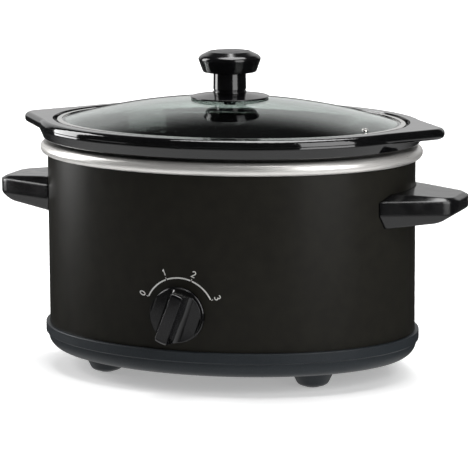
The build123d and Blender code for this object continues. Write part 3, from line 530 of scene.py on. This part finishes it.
# ------------------------------------------------------------------ studio
HIGHEST_TARGET = 0.6    # metres above the floor; a higher box is tipped down to face this point
SENSOR_WIDTH = 36.0     # millimetres


@dataclass(frozen=True)
class SoftBox:
    """One rectangular soft light, placed round the object by its bearing.

    The bearing is in degrees from the front towards the right. Sizes and places are in metres, the power is
    in watts. A level box faces the object's axis; the others face the floor.
    """

    name: str
    bearing: float
    distance: float
    width: float
    height: float
    middle: float
    power: float
    level: bool = True
    mirrored: bool = True

    def hang(self, centre: Vector) -> None:
        """Hang the light and aim it at the object's axis, or straight down.

        Args:
            centre: the oval's centre on the floor.
        """
        lamp = bpy.data.lights.new(self.name, "AREA")
        lamp.shape = "RECTANGLE"
        lamp.size, lamp.size_y = self.width, self.height
        lamp.energy = self.power
        turn = math.radians(self.bearing)
        place = centre + Vector((math.sin(turn), -math.cos(turn), 0)) * self.distance
        holder = bpy.data.objects.new(self.name, lamp)
        holder.visible_glossy = self.mirrored
        holder.visible_transmission = self.mirrored
        holder.location = place + Vector((0, 0, self.middle))
        target = centre + Vector((0, 0, min(self.middle, HIGHEST_TARGET)))
        if not self.level:
            target = place
        holder.rotation_euler = (target - holder.location).to_track_quat("-Z", "Y").to_euler()
        bpy.context.scene.collection.objects.link(holder)


@dataclass
class Studio:
    """Pale floor with a swept-up back, soft lights and the camera.

    Lengths are in metres, and the air values are world strengths. Each pair of limits is for a fade and is
    part of a unit direction: towards the wall behind for wall_facing, and upwards for the others.
    """

    centre: Vector
    azimuth: float = math.radians(20.04)
    elevation: float = math.radians(9.87)
    roll: float = math.radians(-0.277)
    distance: float = 2.2364
    aim: Vector = field(default_factory=lambda: Vector((3.287, 1.199, 103.036)) * MM)
    lens: float = 219.955
    floor_reach: float = 6.0
    floor_front: float = 0.62
    floor_back: float = 4.2
    front_air: float = 0.03
    back_air: float = 0.72
    floor_air: float = 0.9
    sweep_radius: float = 0.5
    sweep_steps: int = 24
    strip_near: float = 0.29
    strip_far: float = 0.46
    strip_reach: float = 0.8
    strip_lift: float = 0.001
    wall_facing: tuple[float, float] = (0.66, 0.80)
    wall_foot: tuple[float, float] = (-0.04, 0.08)
    wall_top: tuple[float, float] = (0.42, 0.66)
    floor_slope: tuple[float, float] = (-0.30, -0.70)
    boxes: tuple[SoftBox, ...] = (
        SoftBox("left_box", bearing=-88.0, distance=1.05, width=0.44, height=1.10, middle=0.57, power=11.0),
        SoftBox("right_box", bearing=58.0, distance=0.95, width=0.56, height=1.10, middle=0.57, power=7.6),
        SoftBox("top_box", bearing=160.0, distance=0.20, width=1.30, height=1.30, middle=1.90, power=38.0),
        SoftBox("back_floor_box", bearing=180.0, distance=2.60, width=3.40, height=2.00, middle=2.00,
                power=90.0, level=False, mirrored=False),
    )

    def build(self) -> None:
        """Set the floor, lights and camera up."""
        self.build_floor()
        self.build_strip()
        self.build_lights()
        self.build_camera()
        LOG.info("studio ready")

    def build_floor(self) -> None:
        """Make the floor and its swept-up back as one sheet."""
        mesh = bmesh.new()
        front = [mesh.verts.new((x, -self.floor_front, 0.0)) for x in (-self.floor_reach, self.floor_reach)]
        edge = mesh.edges.new(front)
        flat = bmesh.ops.extrude_edge_only(mesh, edges=[edge])["geom"]
        moved = [v for v in flat if isinstance(v, bmesh.types.BMVert)]
        bmesh.ops.translate(mesh, verts=moved, vec=(0, self.floor_front + self.floor_back, 0))
        back = [e for e in flat if isinstance(e, bmesh.types.BMEdge)]
        bmesh.ops.spin(mesh, geom=back + moved, cent=(0, self.floor_back, self.sweep_radius), axis=(1, 0, 0),
                       angle=math.radians(90), steps=self.sweep_steps)
        bmesh.ops.recalc_face_normals(mesh, faces=mesh.faces)
        data = bpy.data.meshes.new("floor")
        mesh.to_mesh(data)
        mesh.free()
        data.shade_smooth()
        floor = bpy.data.objects.new("floor", data)
        bpy.context.scene.collection.objects.link(floor)
        data.materials.append(STUDIO_PAPER.material())
        floor.visible_glossy = False

    def build_strip(self) -> None:
        """Lay a lit strip in front of the object that only its glossy upright faces see."""
        mesh = bmesh.new()
        ends = (-self.strip_reach, self.strip_reach)
        near = [mesh.verts.new((x, -self.strip_near, self.strip_lift)) for x in ends]
        grown = bmesh.ops.extrude_edge_only(mesh, edges=[mesh.edges.new(near)])["geom"]
        moved = [v for v in grown if isinstance(v, bmesh.types.BMVert)]
        bmesh.ops.translate(mesh, verts=moved, vec=(0, self.strip_near - self.strip_far, 0))
        data = bpy.data.meshes.new("floor_card")
        mesh.to_mesh(data)
        mesh.free()
        strip = bpy.data.objects.new("floor_card", data)
        bpy.context.scene.collection.objects.link(strip)
        data.materials.append(LIT_STRIP.material())
        strip.visible_camera = False
        strip.visible_diffuse = False
        strip.visible_shadow = False
        strip.visible_transmission = False

    def build_lights(self) -> None:
        """Set the room's tone and hang the soft lights."""
        self.build_air()
        for box in self.boxes:
            box.hang(self.centre)

    @staticmethod
    def fade(tree: bpy.types.NodeTree, value: bpy.types.NodeSocket, limits: tuple[float, float],
             ends: tuple[float, float] = (0.0, 1.0)) -> bpy.types.NodeSocket:
        """Go smoothly from one end value to the other between two limits.

        Args:
            tree: the world's node tree.
            value: what the fade follows.
            limits: where the fade starts and stops.
            ends: the result before the start and past the stop.

        Returns:
            The faded value.
        """
        return add_node(tree, "ShaderNodeMapRange", {"interpolation_type": "SMOOTHSTEP"}, {
            "Value": value, "From Min": limits[0], "From Max": limits[1],
            "To Min": ends[0], "To Max": ends[1]}).outputs[0]

    def build_air(self) -> None:
        """Set the world's tone by direction: dim in front, a pale wall behind, and the floor's glow below."""
        world = bpy.data.worlds.new("studio_air")
        world.use_nodes = True
        bpy.context.scene.world = world
        tree = world.node_tree
        way = add_node(tree, "ShaderNodeTexCoord").outputs["Generated"]
        height = add_node(tree, "ShaderNodeSeparateXYZ", inputs={0: way}).outputs["Z"]
        straight = (-math.sin(self.azimuth), math.cos(self.azimuth), 0.0)
        toward = add_node(tree, "ShaderNodeVectorMath", {"operation": "DOT_PRODUCT"}, {0: way, 1: straight})
        behind = self.fade(tree, toward.outputs["Value"], self.wall_facing)
        above = self.fade(tree, height, self.wall_foot)
        below = self.fade(tree, height, self.wall_top, (1.0, 0.0))
        band = add_node(tree, "ShaderNodeMath", {"operation": "MULTIPLY"}, {0: above, 1: below})
        wall = add_node(tree, "ShaderNodeMath", {"operation": "MULTIPLY"}, {0: behind, 1: band.outputs[0]})
        level = add_node(tree, "ShaderNodeMapRange", inputs={
            "Value": wall.outputs[0], "To Min": self.front_air, "To Max": self.back_air})
        down = self.fade(tree, height, self.floor_slope, (0.0, self.floor_air))
        strength = add_node(tree, "ShaderNodeMath", {"operation": "ADD"}, {0: level.outputs[0], 1: down})
        background = tree.nodes["Background"]
        background.inputs["Color"].default_value = (1.0, 1.0, 1.0, 1.0)
        tree.links.new(strength.outputs[0], background.inputs["Strength"])

    def build_camera(self) -> None:
        """Set the camera at the viewing angle, level but for a slight roll."""
        sin_a, cos_a = math.sin(self.azimuth), math.cos(self.azimuth)
        sin_e, cos_e = math.sin(self.elevation), math.cos(self.elevation)
        back = Vector((sin_a * cos_e, -cos_a * cos_e, sin_e))
        right = Vector((cos_a, sin_a, 0))
        up = back.cross(right)
        sin_r, cos_r = math.sin(self.roll), math.cos(self.roll)
        turn = Matrix((cos_r * right + sin_r * up, -sin_r * right + cos_r * up, back)).transposed()
        camera = bpy.data.objects.new("camera", bpy.data.cameras.new("camera"))
        camera.data.lens = self.lens
        camera.data.sensor_width = SENSOR_WIDTH
        place = self.centre + self.aim + self.distance * back
        camera.matrix_world = Matrix.Translation(place) @ turn.to_4x4()
        bpy.context.scene.collection.objects.link(camera)
        bpy.context.scene.camera = camera


def oval_centre() -> Vector:
    """Find the middle of the housing's oval.

    Returns:
        The point on the floor under it.
    """
    low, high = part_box("housing")
    return Vector(((low.x + high.x) / 2, (low.y + high.y) / 2, 0.0))


def main() -> None:
    """Build the looks round the frame, piece by piece."""
    logging.basicConfig(level=logging.INFO, format="%(name)s: %(message)s")
    bpy.context.scene.view_settings.view_transform = "Standard"
    Studio(oval_centre()).build()
    for sub_assembly in SUB_ASSEMBLIES:
        sub_assembly.dress()
    wall_low, wall_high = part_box("housing")
    dial_low, dial_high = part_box("control_dial")
    DialLegend(
        hub=(dial_low + dial_high) / 2,
        centre=oval_centre(),
        half_length=(wall_high.x - wall_low.x) / 2,
        half_width=(wall_high.y - wall_low.y) / 2,
    ).build()


if __name__ == "__main__":
    main()
